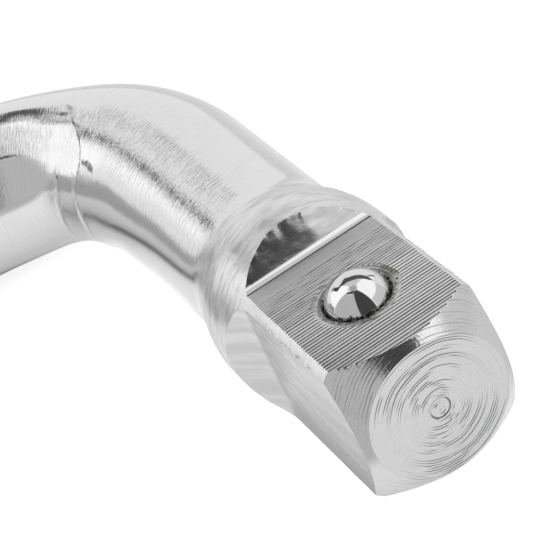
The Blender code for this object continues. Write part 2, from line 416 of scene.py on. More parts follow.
# %% Build a cutting block from its side view
def cutting_block(name, flat_rows, columns, fillet, tear):
    """A block whose underside is a flat with its run-out, pulled across the whole end."""
    rows = flat_rows + runout_rows(fillet)
    flat_count = len(flat_rows)
    grid = {"x_subdivisions": columns, "y_subdivisions": len(rows) - 1, "size": 2}
    block = add_mesh(name, bpy.ops.mesh.primitive_grid_add, **grid)
    give_finishes(block)
    half_width = END_RADIUS + OVERRUN
    for point in block.data.vertices:
        row, column = divmod(point.index, columns + 1)
        row = len(rows) - 1 - row
        y, height, share = rows[row]
        x = half_width * (2 * column / columns - 1)
        z = HALF_FLATS + height
        if row < flat_count:
            z -= GROOVE_DEPTH * share * (0.95 + 0.14 * noise.noise((x / (5.0 * MM), y / (0.4 * MM), 1.5)))
        else:
            finer = noise.noise((x / (0.5 * MM), y / (0.8 * MM), 2.0))
            torn = noise.noise((x / (1.1 * MM), y / (1.6 * MM), 7.0)) + 0.3 * finer
            z += tear * share * torn
            y -= 0.5 * tear * share * torn + WALL_SKEW * (tear > 0) * share * max(WALL_KINK - x, 0)
            rim = math.sqrt(max(END_RADIUS**2 - x * x, 0))
            at_rim = math.exp(-(((z - rim) / (0.3 * MM)) ** 2)) * (tear > 0)
            y += 0.03 * MM * at_rim * noise.noise((x / (0.33 * MM), z / (0.4 * MM), 4.0))
        point.co = (x, y, z)
    edit(block)
    bpy.ops.mesh.select_all(action="SELECT")
    bpy.ops.mesh.extrude_region_move(TRANSFORM_OT_translate={"value": (0, 0, 4 * MM)})
    bpy.ops.transform.resize(value=(1, 1, 0), center_override=(0, 0, CUTTER_TOP + 1.0 * MM))
    finish_faces()
    return block


def paint_block(block, flat_finish, wall_finish):
    """Marks which tool made each face of a cutting block."""
    flat_end = RUNOUT_FILLET * math.tan(RUNOUT_ANGLE / 2) - SQUARE_LENGTH
    wall_start = flat_end - RUNOUT_FILLET * math.sin(RUNOUT_ANGLE)
    for face in block.data.polygons:
        name = wall_finish if face.center.y < wall_start else flat_finish
        if name == "milled_flat" and face.center.y > flat_end and abs(face.normal.y) > 0.30:
            name = "cutter_groove"
        face.material_index = finish_number[name]


top_block = cutting_block("top_flat_cutter", groove_rows(), 76, RUNOUT_FILLET, WALL_TEAR)
paint_block(top_block, "milled_flat", "runout_wall")
side_block = cutting_block("side_flat_cutter_1", plain_rows(6), 24, SIDE_FILLET, 0.0)
paint_block(side_block, "side_flat", "side_flat")
print("blocks closed:", open_edges(top_block) == 0, open_edges(side_block) == 0)

# %% [markdown]
# ## The bore and its staked ring
# The hole for the ball was drilled from the flat, and a ring punch then pushed the metal round it inwards
# to hold the ball. The cutter for it is a disc that is extruded downwards ring by ring: first the wide
# shallow print of the punch, then the narrow lip, then the bore and the cone of the drill.

# %% Model the bore cutter
STAKE_PROFILE = [
    (3.46, 0.00), (3.36, -0.03), (3.24, -0.065), (3.06, -0.07), (2.93, -0.05), (2.85, -0.06),
    (2.76, -0.11), (2.67, -0.17),
]
BORE_SEGMENTS = 96


def bore_profile():
    """The bore from the flat down, as (radius, height) pairs."""
    profile = [(STAKE_PROFILE[0][0] * MM, CUTTER_TOP)]
    profile += [(radius * MM, HALF_FLATS + height * MM) for radius, height in STAKE_PROFILE]
    profile += [(LIP_RADIUS, HALF_FLATS - 0.22 * MM), (BORE_RADIUS, HALF_FLATS - 0.55 * MM)]
    profile += [(BORE_RADIUS, BORE_END), (0.05 * MM, DRILL_TIP)]
    return profile


bore_rings = bore_profile()
radius, height = bore_rings[0]
bore_block = add_mesh(
    "bore_cutter", bpy.ops.mesh.primitive_circle_add,
    vertices=BORE_SEGMENTS, radius=radius, fill_type="NGON", location=(0, -BALL_FROM_FACE, height),
)
finish_transforms(bore_block)
give_finishes(bore_block)
edit(bore_block)
select_points(bore_block, lambda co: True)
bpy.ops.mesh.select_mode(type="EDGE")
disc = bmesh.from_edit_mesh(bore_block.data)
for face in disc.faces:
    face.select = False
for edge in disc.edges:
    edge.select = True
bmesh.update_edit_mesh(bore_block.data)
for next_radius, next_height in bore_rings[1:]:
    bpy.ops.mesh.extrude_edges_move(TRANSFORM_OT_translate={"value": (0, 0, next_height - height)})
    ratio = next_radius / radius
    bpy.ops.transform.resize(value=(ratio, ratio, 1), center_override=(0, -BALL_FROM_FACE, next_height))
    radius, height = next_radius, next_height
bpy.ops.mesh.edge_face_add()
finish_faces()


def uneven_stake(co):
    """The punch's print isn't a perfect ring: its wall and lip wander a little."""
    if co.z < HALF_FLATS - 0.3 * MM or co.z > HALF_FLATS + 0.2 * MM:
        return co
    out = Vector((co.x, co.y + BALL_FROM_FACE, 0))
    angle = math.atan2(out.y, out.x)
    wander = noise.noise((2.2 * math.cos(angle), 2.2 * math.sin(angle), 1.0))
    fine = noise.noise((9 * math.cos(angle), 9 * math.sin(angle), co.z / (0.05 * MM)))
    keep = ease((out.length - LIP_RADIUS) / (0.3 * MM))
    out *= 1 + keep * (0.022 * wander + 0.006 * fine)
    return Vector((out.x, out.y - BALL_FROM_FACE, co.z + keep * 0.02 * MM * fine))


move_points(bore_block, uneven_stake)
for face in bore_block.data.polygons:
    face.material_index = finish_number["bore_wall"]
print("bore cutter closed:", open_edges(bore_block) == 0)

# %% [markdown]
# ## Cut the square
# Each block is copied and turned a quarter about the arm, with its own mesh, and cut out of the end with
# a Boolean modifier that is applied at once. The blocks are thrown away afterwards.


# %% Cut and drill
QUARTER = math.pi / 2


def cut(body, block):
    """Cuts a block out of a body with a Boolean, and removes the block."""
    pick_only(body)
    bpy.ops.object.modifier_add(type="BOOLEAN")
    modifier = body.modifiers[-1]
    modifier.operation = "DIFFERENCE"
    modifier.solver = "EXACT"
    modifier.material_mode = "INDEX"
    modifier.object = block
    bpy.ops.object.modifier_apply(modifier=modifier.name)
    bpy.data.objects.remove(block, do_unlink=True)


quarter_turns = [Matrix.Rotation(quarters * QUARTER, 4, "Y") for quarters in (1, 2, 3)]
blocks = [top_block] + [moved_copy(side_block, turn) for turn in quarter_turns]
bpy.data.objects.remove(side_block, do_unlink=True)
for block in (*blocks, bore_block):
    cut(handle, block)
print("square cut:", len(handle.data.polygons), "faces, open edges:", open_edges(handle))

# %% [markdown]
# ## The second end, and the bar between them
# The long arm ends in the same square. The finished end is copied, turned and moved there, and the two
# become one object. Then the short end's open ring is extruded to the bend, spun a quarter turn about
# the bend's centre, and extruded along the long arm until it meets the other end, where it is merged.

# %% Copy the end to the long arm
edit(handle)
select_points(handle, lambda co: co.y < -END_LENGTH + 0.001 * MM)
bpy.ops.mesh.delete(type="ONLY_FACE")
leave_edit()
at_long_arm = Matrix.Translation((LONG_ARM_REACH, -SHORT_ARM_REACH, 0))
far_end = moved_copy(handle, at_long_arm @ Matrix.Rotation(-QUARTER, 4, "Z"))
pick_only(handle)
far_end.select_set(True)
bpy.ops.object.join()
print("two ends:", len(handle.data.polygons), "faces")

# %% Extrude, spin and extrude the bar between them
SHORT_STEPS = 22
BEND_STEPS = 150
LONG_STEPS = [1.0] * 14 + [2.5] * 6 + [8.0] * 18
edit(handle)
select_points(handle, lambda co: abs(co.y + END_LENGTH) < 0.001 * MM and co.x < 20 * MM)
bpy.ops.mesh.select_mode(type="EDGE")
run = (SHORT_STRAIGHT - END_LENGTH) / SHORT_STEPS
for _ in range(SHORT_STEPS):
    bpy.ops.mesh.extrude_region_move(TRANSFORM_OT_translate={"value": (0, -run, 0)})
bpy.ops.mesh.spin(
    steps=BEND_STEPS, angle=QUARTER, center=(BEND_RADIUS, -SHORT_STRAIGHT, 0), axis=(0, 0, -1),
    use_auto_merge=False,
)
shape = bmesh.from_edit_mesh(handle.data)
spun = [point.co.copy() for point in shape.verts if point.select]
print("spun ring is centred at", [round(c / MM, 2) for c in sum(spun, Vector()) / len(spun)])
scale = (LONG_STRAIGHT - END_LENGTH) / sum(LONG_STEPS)
for step in LONG_STEPS:
    bpy.ops.mesh.extrude_region_move(TRANSFORM_OT_translate={"value": (step * scale, 0, 0)})
finish_faces(0.002 * MM)
print("bar joined:", len(handle.data.polygons), "faces, open edges:", open_edges(handle))

# %% [markdown]
# ## Where a point lies on the bar
# Every mark of the bending is placed by two numbers: the distance along the centreline from the short
# end's face, and the angle round the bar from the inside of the bend, upwards. This helper gives them for
# all points at once, so that shapes and finishes can follow the bent bar.


# %% Distance and angle of every point
def along_and_round(places):
    """For an array of places: the distance along the bar, the angle from the bend's inside, the radius."""
    x, y, z = places.T
    on_long = x > BEND_RADIUS
    on_short = (y > -SHORT_STRAIGHT) & ~on_long
    turn = np.arctan2(-(y + SHORT_STRAIGHT), -(x - BEND_RADIUS))
    in_bend = BEND_RADIUS - np.hypot(x - BEND_RADIUS, y + SHORT_STRAIGHT)
    past_bend = SHORT_STRAIGHT + BEND_LENGTH + x - BEND_RADIUS
    distance = np.where(on_short, -y, np.where(on_long, past_bend, SHORT_STRAIGHT + BEND_RADIUS * turn))
    inward = np.where(on_short, x, np.where(on_long, y + SHORT_ARM_REACH, in_bend))
    return distance, np.arctan2(z, inward), np.hypot(z, inward)


def place_on_bar(distance, angle, radius):
    """The places that belong to distances along the bar, angles and radii."""
    turn = np.clip((distance - SHORT_STRAIGHT) / BEND_RADIUS, 0, math.pi / 2)
    before = np.minimum(distance, SHORT_STRAIGHT)
    after = np.maximum(distance - SHORT_STRAIGHT - BEND_LENGTH, 0)
    centre_x = BEND_RADIUS * (1 - np.cos(turn)) + after
    centre_y = -before - BEND_RADIUS * np.sin(turn)
    inward = radius * np.cos(angle)
    height = radius * np.sin(angle)
    return np.stack([centre_x + np.cos(turn) * inward, centre_y + np.sin(turn) * inward, height], axis=1)


def mesh_places(thing):
    """All points of a mesh as an array."""
    flat = np.empty(len(thing.data.vertices) * 3)
    thing.data.vertices.foreach_get("co", flat)
    return flat.reshape(-1, 3)


# %% [markdown]
# ## What the bending did
# A round bar that is bent this tightly swells on the inside of the bend and folds there. The fold runs
# round the inside as a narrow band between two creases, and above it the bending die pressed a flat mark
# into the long arm's side, up to a sharp crease. Each is a rule for the radius at a place on the bar.

# %% Rules for the bend's marks
SWELL_HEIGHT = 0.52 * MM
SWELL_HALF_LENGTH = 13.0 * MM
SWELL_FADE_LENGTH = 11.5 * MM
PINCH_DEPTH = 0.97 * MM
PINCH_HALF_WIDTH = 5.5 * MM
CREASE_ANGLES = [-60, -24, -9, 6, 19, 30, 41, 49, 56, 63, 70, 78, 100]
CREASE_ALONG = [55.5, 52.9, 51.5, 51.2, 51.3, 50.6, 49.9, 50.3, 51.0, 52.1, 53.2, 53.9, 56.0]
SECOND_ANGLES = [-60, -24, -8, 11, 22, 34, 60]
SECOND_ALONG = [57.2, 57.2, 56.6, 55.6, 54.8, 54.5, 54.2]
CREASE_DEPTH = 0.10 * MM
SECOND_DEPTH = 0.07 * MM
CREASE_HALF_WIDTH = 0.45
PRESS_PAST = [0.0, 0.18, 4.0, 6.0, 8.0, 10.0, 12.0, 15.0, 19.0]
PRESS_MIDDLE = [50.0, 50.0, 51.0, 54.0, 59.0, 62.0, 61.0, 60.0, 60.0]
PRESS_DEPTH = [0.0, 0.34, 0.33, 0.31, 0.25, 0.20, 0.16, 0.08, 0.0]
PRESS_ROUNDING = 0.05 * MM
BULGE_HEIGHT = 0.16 * MM
BULGE_ANGLE = 86.5
BULGE_HALF_ANGLE = 8.5
EDGE_SOOT = 0.42
# Spots of painted shade on the creases and the press mark's edges: mm along, angle, half length, half angle,
# slant per mm, and darkness.
CREASE_SHADE_SPOTS = [
    (48.1, 41.0, 2.2, 3.6, 1.2, 0.80), (49.3, 25.0, 0.55, 7.0, 0.0, 0.42), (54.7, 29.0, 0.30, 5.0, 0.0, 0.62),
    (51.3, 33.0, 0.5, 3.0, 0.0, 0.55), (61.4, 49.5, 1.9, 1.6, 0.0, 0.50), (51.9, 66.0, 1.0, 3.5, 5.5, 0.46),
    (55.0, 76.5, 2.4, 3.2, 1.2, 0.62),
]


def bend_marks(distance, angle, radius):
    """The radius after bending, for arrays of distances along the bar, angles and radii."""
    along, degrees = distance / MM, np.degrees(angle)
    from_middle = np.abs(distance - BEND_MIDDLE)
    faded = rise((from_middle - SWELL_HALF_LENGTH) / SWELL_FADE_LENGTH)
    pinch = PINCH_DEPTH * np.exp(-((from_middle / PINCH_HALF_WIDTH) ** 2))
    swell = SWELL_HEIGHT * (1 - faded) - pinch
    radius = radius + swell * (1 + np.cos(angle)) / 2
    past_crease = along - np.interp(degrees, CREASE_ANGLES, CREASE_ALONG)
    past_second = along - np.interp(degrees, SECOND_ANGLES, SECOND_ALONG)
    low = rise((degrees + 50) / 20) * rise((40 - degrees) / 8)
    depth = np.interp(past_crease, PRESS_PAST, PRESS_DEPTH, left=0.0, right=0.0) * MM
    middle = np.radians(np.interp(past_crease, PRESS_PAST, PRESS_MIDDLE))
    across = np.maximum(np.cos(angle - middle), 0.3)
    flat = (radius - depth) / across
    least = radius.min()
    joined = np.exp(-(radius - least) / PRESS_ROUNDING) + np.exp(-(flat - least) / PRESS_ROUNDING)
    radius = np.where(depth > 0, np.minimum(radius, least - PRESS_ROUNDING * np.log(joined)), radius)
    radius -= CREASE_DEPTH * low * np.exp(-((past_crease / CREASE_HALF_WIDTH) ** 2))
    radius -= SECOND_DEPTH * low * np.exp(-((past_second / CREASE_HALF_WIDTH) ** 2))
    beside = rise((past_crease + 0.6) / 1.2) * rise((9.0 - past_crease) / 3.0)
    radius += BULGE_HEIGHT * beside * np.exp(-(((degrees - BULGE_ANGLE) / BULGE_HALF_ANGLE) ** 2))
    return radius


def mark_places(distance, angle, radius):
    """What the finish reads of the marks: mm past the crease, the angle in degrees, and how dark it is."""
    along, degrees = distance / MM, np.degrees(angle)
    past_crease = along - np.interp(degrees, CREASE_ANGLES, CREASE_ALONG)
    shade_and_soot = np.zeros_like(along)
    # First the spots of painted shade on the creases, then the soot along the square's upper edges.
    for middle, middle_angle, half, half_angle, slant, amount in CREASE_SHADE_SPOTS:
        off = along - middle
        off_angle = degrees - middle_angle - slant * off
        shade_and_soot = np.maximum(shade_and_soot, amount * np.exp(-((off / half) ** 2) - (off_angle / half_angle) ** 2))
    near = np.minimum(along, BAR_LENGTH / MM - along)
    beside = np.abs(radius * np.cos(angle)) / MM
    edge = EDGE_SOOT * rise((beside - 5.7) / 0.5) * rise((near - 2.5) / 2) * rise((14.5 - near) / 3)
    edge *= np.sin(angle) > 0
    return np.stack([past_crease, degrees, np.maximum(shade_and_soot, edge)], axis=1)


def sharpen_grooves(thing):
    """Marks the edges between the flat and the cutter's grooves as sharp, so that the flat stays flat."""
    pair = {finish_number["milled_flat"], finish_number["cutter_groove"]}
    shape = bmesh.new()
    shape.from_mesh(thing.data)
    for edge in shape.edges:
        if {face.material_index for face in edge.link_faces} == pair:
            edge.smooth = False
    shape.to_mesh(thing.data)
    shape.free()


# %% Press the marks into the bend
places = mesh_places(handle)
distance, angle, radius = along_and_round(places)
bent = (distance > END_LENGTH + 0.01 * MM) & (distance < BAR_LENGTH - END_LENGTH - 0.01 * MM)
marked = bend_marks(distance[bent], angle[bent], radius[bent])
places[bent] = place_on_bar(distance[bent], angle[bent], marked)
handle.data.vertices.foreach_set("co", places.ravel())
handle.data.update()
tidy_mesh(handle, math.radians(30))
sharpen_grooves(handle)
distance, angle, radius = along_and_round(mesh_places(handle))
marks = handle.data.attributes.new("bend_marks", "FLOAT_VECTOR", "POINT")
marks.data.foreach_set("vector", mark_places(distance, angle, radius).astype(np.float32).ravel())
print("marks pressed into", int(bent.sum()), "points")

# %% [markdown]
# ## A flat map of the surface
# Scratches run round the bar and grooves run across the flats, so the finishes need to know which way
# is which. The UV map "surface_mm" holds two lengths in millimetres: on the bar the way round and the
# way along, on a flat the way across and the way along, and on the turned end the place on its disc.

# %% Unroll the handle
handle.data.uv_layers.new(name="surface_mm")


def unroll(thing):
    """Writes the surface_mm map from where each corner lies, face by face, so that no face is torn."""
    places = mesh_places(thing)
    distance, angle, radius = along_and_round(places)
    near = np.minimum(distance, BAR_LENGTH - distance) / MM
    on_long = distance > BAR_LENGTH / 2
    across = np.where(on_long, places[:, 1] + SHORT_ARM_REACH, places[:, 0]) / MM
    height = places[:, 2] / MM
    layer = thing.data.uv_layers["surface_mm"].data
    for face in thing.data.polygons:
        name = FINISHES[face.material_index]
        first = angle[face.vertices[0]]
        flat_facing_up = abs(face.normal.z) > 0.5
        for corner, point in zip(face.loop_indices, face.vertices):
            if name == "turned_end":
                layer[corner].uv = (across[point], height[point])
            elif name == "polished_bar":
                turn = (angle[point] - first + math.pi) % math.tau - math.pi + first
                layer[corner].uv = (turn * BAR_RADIUS / MM, near[point])
            else:
                layer[corner].uv = (across[point] if flat_facing_up else height[point], near[point])


unroll(handle)
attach(handle, "handle")
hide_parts("handle")
print("handle:", sum(len(face.vertices) - 2 for face in handle.data.polygons), "triangles")

# %% [markdown]
# ## The balls
# A detent ball is a ground and lapped bearing ball. Half a circle, spun round the vertical axis like a
# turned part, gives clean rings of faces and poles that close. Both balls stand where the solids have
# them, and each rides on its own sprung body.

# %% Spin the balls
BALL_SEGMENTS = 96


def turned_ball(name, centre):
    """A ball, spun from half a circle about its own upright axis."""
    circle = {"vertices": BALL_SEGMENTS, "radius": BALL_RADIUS, "location": centre, "rotation": STANDING}
    ball = add_mesh(name, bpy.ops.mesh.primitive_circle_add, **circle)
    finish_transforms(ball)
    edit(ball)
    select_points(ball, lambda co: co.x < centre[0] - 0.001 * MM)
    bpy.ops.mesh.delete(type="VERT")
    bpy.ops.mesh.select_all(action="SELECT")
    bpy.ops.mesh.spin(steps=BALL_SEGMENTS, angle=math.tau, center=centre, axis=(0, 0, 1))
    leave_edit()
    tidy_mesh(ball, math.radians(60))
    return ball


BALL_CENTRES = {
    "short_end_ball": (0, -BALL_FROM_FACE, BALL_HEIGHT),
    "long_end_ball": (LONG_ARM_REACH - BALL_FROM_FACE, -SHORT_ARM_REACH, BALL_HEIGHT),
}
balls = []
for body, centre in BALL_CENTRES.items():
    ball = turned_ball(f"detailed_{body}", centre)
    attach(ball, body)
    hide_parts(body)
    balls.append(ball)
    print(ball.name, len(ball.data.polygons), "faces, open edges:", open_edges(ball))

# %% [markdown]
# ## The springs
# Under each ball stands a small spring, coiled from drawn wire. A ring of the wire's size is screwed up
# round the bore's axis for six turns, and its two ends are closed. The spring is fixed at the bore's end.

# %% Screw up the springs
WIRE_RADIUS = 0.25 * MM
COIL_RADIUS = 2.05 * MM
WIRE_SIDES = 16
SPRING_TURNS = 6
STEPS_PER_TURN = 40
SPRING_FOOT, SPRING_TOP = -3.07 * MM, 3.277 * MM
springs = []
for end_name in ("short_end", "long_end"):
    centre = BALL_CENTRES[f"{end_name}_ball"]
    spring = add_mesh(
        f"detailed_{end_name}_spring", bpy.ops.mesh.primitive_circle_add,
        vertices=WIRE_SIDES, radius=WIRE_RADIUS, location=(COIL_RADIUS, 0, SPRING_FOOT), rotation=STANDING,
    )
    finish_transforms(spring)
    bpy.ops.object.modifier_add(type="SCREW")
    screw = spring.modifiers[-1]
    screw.screw_offset = (SPRING_TOP - SPRING_FOOT) / SPRING_TURNS
    screw.iterations = SPRING_TURNS
    screw.steps = screw.render_steps = STEPS_PER_TURN
    bpy.ops.object.modifier_apply(modifier=screw.name)
    edit(spring)
    bpy.ops.mesh.select_all(action="SELECT")
    bpy.ops.mesh.fill_holes(sides=0)
    leave_edit()
    spring.data.transform(Matrix.Translation((centre[0], centre[1], 0)))
    tidy_mesh(spring, math.radians(60))
    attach(spring, "handle")
    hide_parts(f"{end_name}_spring")
    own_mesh(spring)
    springs.append(spring)
    print(spring.name, len(spring.data.polygons), "faces, open edges:", open_edges(spring))

# %% [markdown]
# ## Values in a node tree
# The finishes are small sums of noises and places, so a value in a node tree has a class of its own. Sums
# and ramps of such values add the nodes that work them out, which keeps each finish short to read.


# %% Helpers for node trees
class Field:
    """A value that varies over a surface. Sums with it add Math nodes to its node tree."""

    def __init__(self, socket):
        self.socket = socket
        self.tree = socket.id_data

    def __add__(self, other):
        return calculate("ADD", self, other)

    def __sub__(self, other):
        return calculate("SUBTRACT", self, other)

    def __rsub__(self, other):
        return calculate("SUBTRACT", other, self)

    def __mul__(self, other):
        return calculate("MULTIPLY", self, other)

    def __abs__(self):
        return calculate("ABSOLUTE", self)

    def ramp(self, low, high, to_low=0.0, to_high=1.0, smooth=True):
        """Goes smoothly from one value to another while this one goes from low to high."""
        made = self.tree.nodes.new("ShaderNodeMapRange")
        made.interpolation_type = "SMOOTHSTEP" if smooth else "LINEAR"
        put(made.inputs["Value"], self)
        for name, number in zip(("From Min", "From Max", "To Min", "To Max"), (low, high, to_low, to_high)):
            put(made.inputs[name], number)
        return Field(made.outputs["Result"])

    def noise(self, scale=1.0, detail=2.0, roughness=0.5):
        """A noise that is read at this place."""
        made = self.tree.nodes.new("ShaderNodeTexNoise")
        for name, value in (("Vector", self), ("Scale", scale), ("Detail", detail), ("Roughness", roughness)):
            put(made.inputs[name], value)
        return Field(made.outputs["Fac"])

    def scaled(self, scale, turn=0.0, shift=(0, 0, 0)):
        """This place, scaled, turned about its third axis and shifted."""
        made = self.tree.nodes.new("ShaderNodeMapping")
        put(made.inputs["Vector"], self)
        put(made.inputs["Scale"], scale)
        put(made.inputs["Rotation"], (0, 0, turn))
        put(made.inputs["Location"], shift)
        return Field(made.outputs["Vector"])

    def parts(self):
        """The three numbers of this place."""
        made = self.tree.nodes.new("ShaderNodeSeparateXYZ")
        put(made.inputs[0], self)
        return [Field(socket) for socket in made.outputs]


def put(sink, value):
    """Joins a field to an input, or sets the input to a number or a colour."""
    if isinstance(value, Field):
        value.tree.links.new(value.socket, sink)
    else:
        sink.default_value = (*value, 1) if sink.type == "RGBA" else value


def calculate(operation, *values, clamp=False):
    """Adds a Math node. Each value is a number or a field."""
    tree = next(value.tree for value in values if isinstance(value, Field))
    made = tree.nodes.new("ShaderNodeMath")
    made.operation, made.use_clamp = operation, clamp
    for sink, value in zip(made.inputs, values):
        put(sink, value)
    return Field(made.outputs[0])


def largest(first, *others):
    """The largest of several fields."""
    for other in others:
        first = calculate("MAXIMUM", first, other)
    return first


def vector_math(operation, *values):
    """Adds a Vector Math node. The first value is a field, and a scale is a field too."""
    made = values[0].tree.nodes.new("ShaderNodeVectorMath")
    made.operation = operation
    sinks = [made.inputs[0], made.inputs["Scale"]] if operation == "SCALE" else made.inputs
    for sink, value in zip(sinks, values):
        put(sink, value)
    return Field(made.outputs["Value" if operation in ("LENGTH", "DISTANCE", "DOT_PRODUCT") else "Vector"])


def combined(*numbers):
    """One place from up to three numbers, of which the last is a field."""
    made = numbers[-1].tree.nodes.new("ShaderNodeCombineXYZ")
    for sink, number in zip(made.inputs, numbers):
        put(sink, number)
    return Field(made.outputs[0])


def over(below, mask, colour):
    """Lays a colour over another by a mask. The colour below may be a field."""
    mix = mask.tree.nodes.new("ShaderNodeMix")
    mix.data_type = "RGBA"
    for name, value in (("Factor", mask), ("A", below), ("B", colour)):
        put(mix.inputs[name], value)
    return Field(mix.outputs["Result"])


def new_group(name, place, numbers, results):
    """Starts a group that reads a place and some numbers. Gives the group, what it reads, its results."""
    group = bpy.data.node_groups.new(name, "ShaderNodeTree")
    group.interface.new_socket(name=place, in_out="INPUT", socket_type="NodeSocketVector")
    for title, value in numbers.items():
        socket = group.interface.new_socket(name=title, in_out="INPUT", socket_type="NodeSocketFloat")
        socket.default_value = value
    for title in results:
        group.interface.new_socket(name=title, in_out="OUTPUT", socket_type="NodeSocketFloat")
    sources = group.nodes.new("NodeGroupInput").outputs
    fields = [Field(sources[title]) for title in (place, *numbers)]
    return group, fields, group.nodes.new("NodeGroupOutput").inputs


def use_group(group, place, **numbers):
    """Places a node group that reads a place. Gives its results by name."""
    made = place.tree.nodes.new("ShaderNodeGroup")
    made.node_tree = group
    put(made.inputs[0], place)
    for name, value in numbers.items():
        put(made.inputs[name], value)
    return {socket.name: Field(socket) for socket in made.outputs}


# %% [markdown]
# ## Node groups for the marks
# Scratches, rings and pits are each a node group that is built once. Each reads a place in millimetres
# and puts out a height in millimetres and a mask. A Bump node with a distance of one millimetre then
# turns the heights into slopes of the real steepness.
#
# ### Brushed scratches
# A belt polished the bar, and left short fine scratches across it. Noise that is stretched along the
# belt's way gives them. Long and short strokes lie over each other, and fade in and out in patches.

# %% The scratches group
scratches, (surface, depth), results = new_group(
    "belt_scratches", "Surface", {"Depth": 0.002}, ["Height", "Mask"]
)
long_strokes = surface.scaled((0.8, 4.8, 1)).noise(detail=2, roughness=0.65)
short_strokes = surface.scaled((1.5, 9.0, 1), shift=(3, 8, 0)).noise(detail=1)
patches = surface.scaled((0.25, 0.25, 1), shift=(1, 5, 0)).noise(detail=1)
strokes = (long_strokes.ramp(0.40, 0.68) + short_strokes * 0.75) * patches.ramp(0.30, 0.65, 0.6, 1.0)
put(results["Height"], strokes * depth)
put(results["Mask"], strokes.ramp(0.5, 1.2))

# %% [markdown]
# ### Turned rings
# The lathe tool left rings round the middle of the face and on the cone. The rings read the distance
# from the arm's axis. They wander in depth round the face, so that they break up into arcs, and they
# are deepest on the two sides where the tool chattered. One fine ring lies round the middle pip.

# %% The rings group
CHATTER_ANGLE = math.radians(80)
CHATTER_WAY = (math.cos(CHATTER_ANGLE), math.sin(CHATTER_ANGLE), 0)
PIP_RING_RADIUS = 0.82
RING_SHIFT = 7.31
rings, (surface, pitch, depth), results = new_group(
    "turned_rings", "Surface", {"Pitch": 0.12, "Depth": 0.004}, ["Height", "Arcs"]
)
from_middle = vector_math("LENGTH", surface)
facing = vector_math("NORMALIZE", surface)
drift = surface.scaled((0.35, 0.35, 0.35)).noise(detail=1)
turns = calculate("DIVIDE", drift * 0.30 + from_middle, pitch)
line = abs(calculate("FRACT", turns) - 0.5).ramp(0.22, 0.06)
own_place = combined(0, 0, calculate("FLOOR", turns) * RING_SHIFT)
broken = vector_math("ADD", facing.scaled((1.1, 1.1, 1)), own_place).noise(detail=3, roughness=0.45)
chatter = abs(vector_math("DOT_PRODUCT", facing, CHATTER_WAY)).ramp(0.35, 0.85, 0.10, 1.0)
on_face = from_middle.ramp(5.9, 5.6, 0.5, 1.0) * chatter
pip_ring = abs(from_middle - PIP_RING_RADIUS).ramp(0.09, 0.04) * drift.ramp(0.40, 0.50, 0.3, 0.9)
arcs = largest(line * on_face * broken.ramp(0.44, 0.58), pip_ring)
fine_rings = combined(turns * 2.2, drift * 2.0).noise(detail=2, roughness=0.6)
put(results["Height"], (fine_rings - arcs * 1.5) * depth)
put(results["Arcs"], arcs)

# %% [markdown]
# ### Pits
# Forged metal holds small dark pits, thickest along rough edges. A noise cut off high leaves the dots.

# %% The pits group
PIT_DEPTH = 0.02
pits, (place, size, amount), results = new_group(
    "forging_pits", "Place", {"Size": 0.2, "Amount": 0.5}, ["Height", "Pits"]
)
dots = vector_math("SCALE", place, calculate("DIVIDE", 1.0, size)).noise(detail=2, roughness=0.6)
pitted = calculate("DIVIDE", dots - (0.86 - amount * 0.3), 0.05, clamp=True)
put(results["Pits"], pitted)
put(results["Height"], pitted * -PIT_DEPTH)


# %% [markdown]
# ## The finishes
# All of them are one metal, bright plating on steel, told apart by how rough it is and which marks it
# carries. So one helper sets up the metal shader, and each finish adds its own marks to it.


# %% Set up a metal
def metal(material):
    """Makes a material metal. Gives its shader's inputs and the place on the object in millimetres."""
    material.use_nodes = True
    nodes = material.node_tree.nodes
    paint = nodes["Principled BSDF"].inputs
    put(paint["Metallic"], 1.0)
    where = Field(nodes.new("ShaderNodeTexCoord").outputs["Object"])
    return paint, where.scaled((1 / MM, 1 / MM, 1 / MM))


def mapped_metal(name, roughness):
    """One of the handle's finishes. Gives also the place on its surface map, in millimetres."""
    paint, in_mm = metal(finish[name])
    put(paint["Roughness"], roughness)
    surface_map = finish[name].node_tree.nodes.new("ShaderNodeUVMap")
    surface_map.uv_map = "surface_mm"
    return paint, Field(surface_map.outputs["UV"]), in_mm


def own_metal(things, name):
    """Gives some pieces a new metal."""
    material = bpy.data.materials.new(name)
    for thing in things:
        thing.data.materials.clear()
        thing.data.materials.append(material)
    return metal(material)


def add_bump(paint, height):
    """Turns a height in millimetres into the shader's normal."""
    bump = height.tree.nodes.new("ShaderNodeBump")
    put(bump.inputs["Strength"], 1.0)
    put(bump.inputs["Distance"], MM)
    put(bump.inputs["Height"], height)
    put(paint["Normal"], Field(bump.outputs["Normal"]))


PLATE = (0.72, 0.72, 0.725)
PLATE_WORN = (0.66, 0.66, 0.665)
SMEAR = (0.47, 0.47, 0.47)
# The dark colour serves the painted shade in the crease and its spots, the soot on the edges and the pits.
SOOT_AND_SHADE = (0.09, 0.09, 0.085)
RESIDUE = (0.30, 0.31, 0.24)

# %% The bar: brushed plating, rougher where it was forged
paint, flat, in_mm = mapped_metal("polished_bar", 0.14)
from_end = flat.parts()[1]
wobble = in_mm.noise(scale=0.5)
forged = (from_end + wobble * 1.2).ramp(26.0, 24.0)

